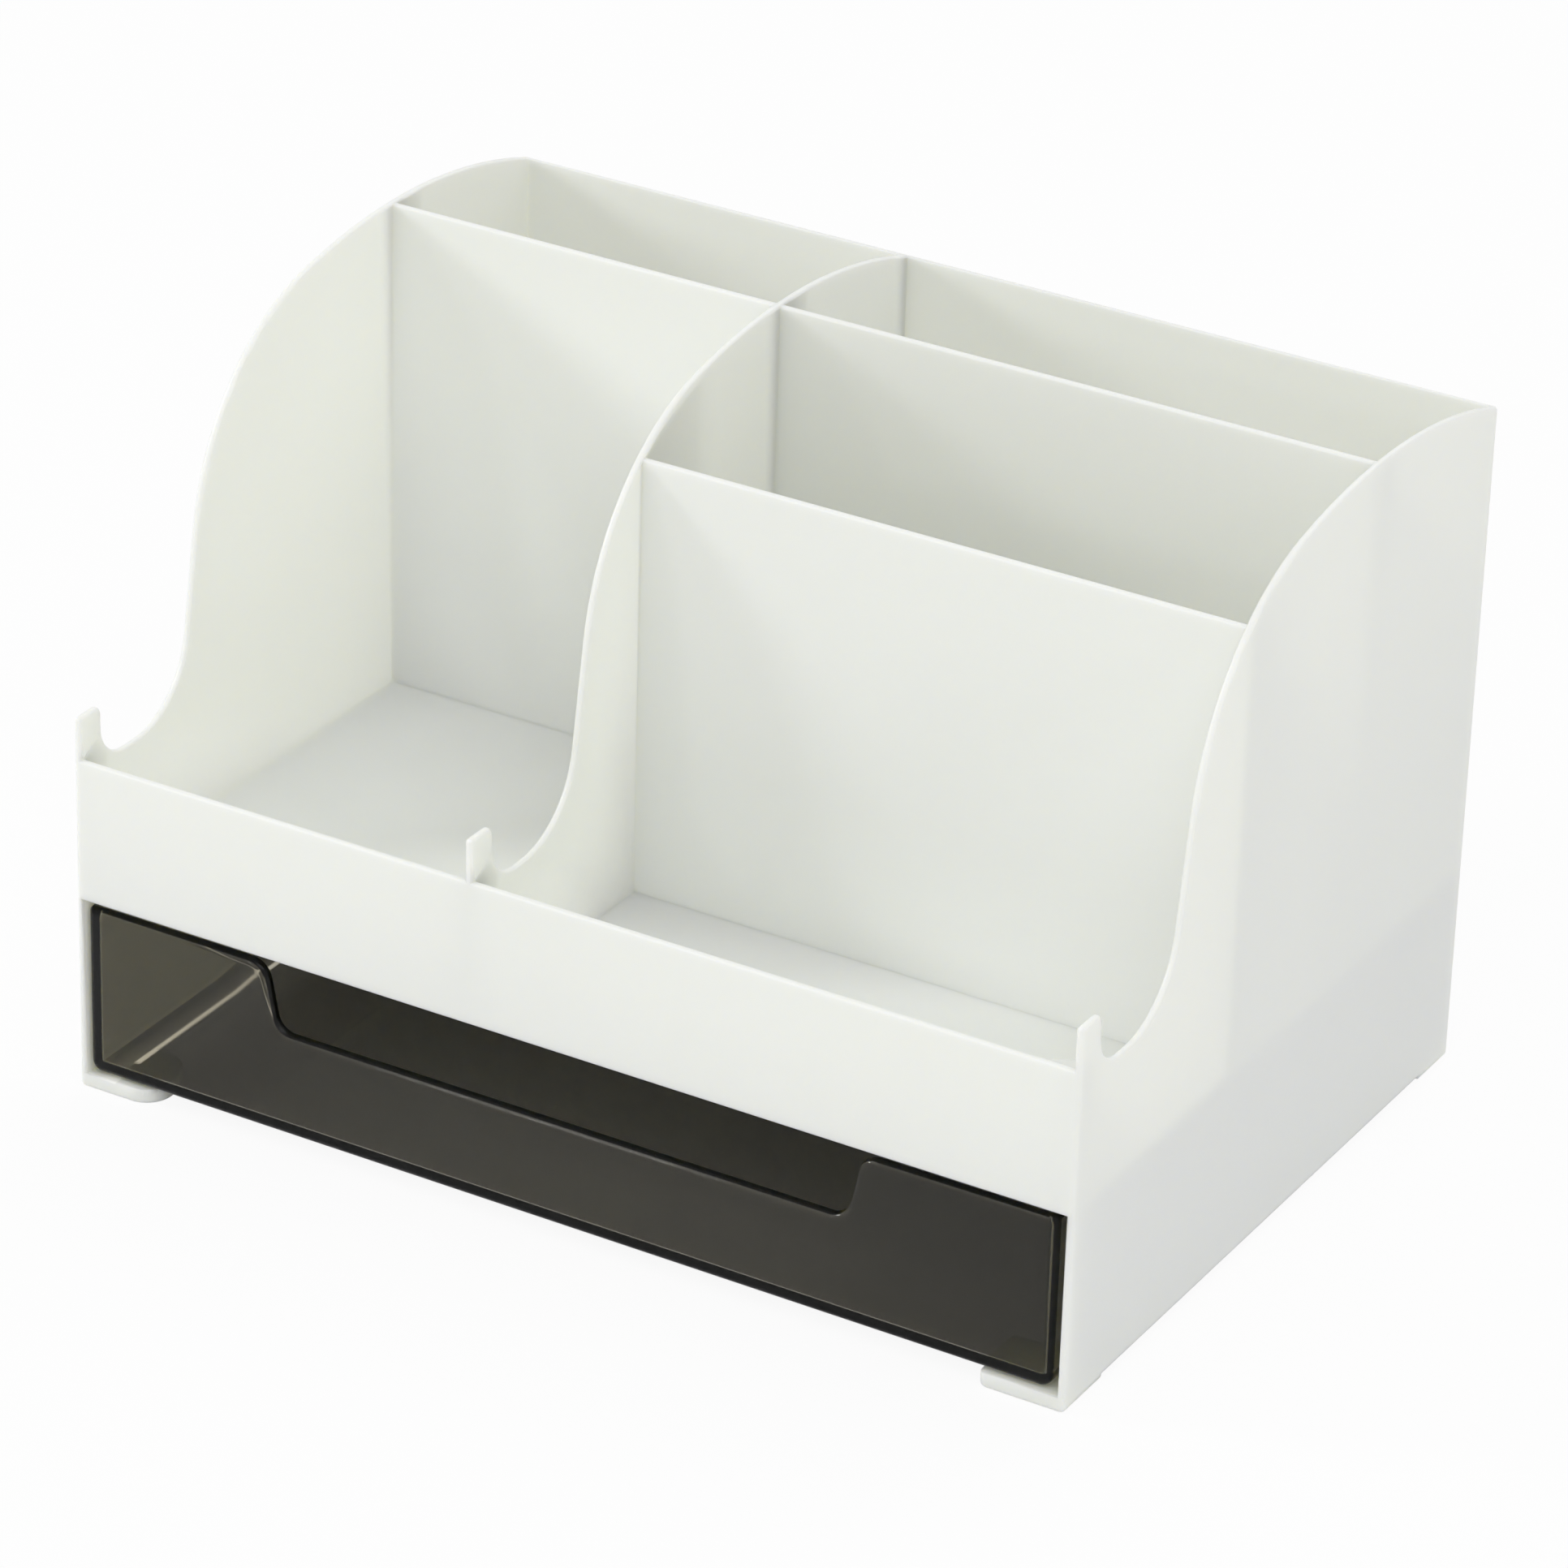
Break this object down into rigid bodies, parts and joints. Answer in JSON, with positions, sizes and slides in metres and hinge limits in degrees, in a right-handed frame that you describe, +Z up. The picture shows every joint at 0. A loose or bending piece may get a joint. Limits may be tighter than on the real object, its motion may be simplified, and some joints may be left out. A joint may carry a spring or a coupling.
{
  "type": "desk organizer with drawer",
  "caption": "Free-standing desk organizer: scalloped open compartments above a full-width smoked drawer with a finger notch, and rests in its front posts.",
  "frame": {"origin": "on the desk plane, under the middle of the organizer's outer box", "axes": "+X to the right as seen from the front, +Y from the drawer front to the back wall, +Z up from the desk"},
  "size_m": [0.22, 0.16, 0.15],
  "materials": {
    "white_plastic": "satin moulded",
    "smoked_plastic": "glossy translucent smoked"
  },
  "bodies": {
    "body": {"organizer_body": "white_plastic"},
    "drawer": {"drawer": "smoked_plastic"}
  },
  "joints": [
    {"name": "drawer_slide", "type": "slide", "parent": "body", "child": "drawer", "axis": [0, -1, 0], "range_m": [0, 0.12]}
  ]
}
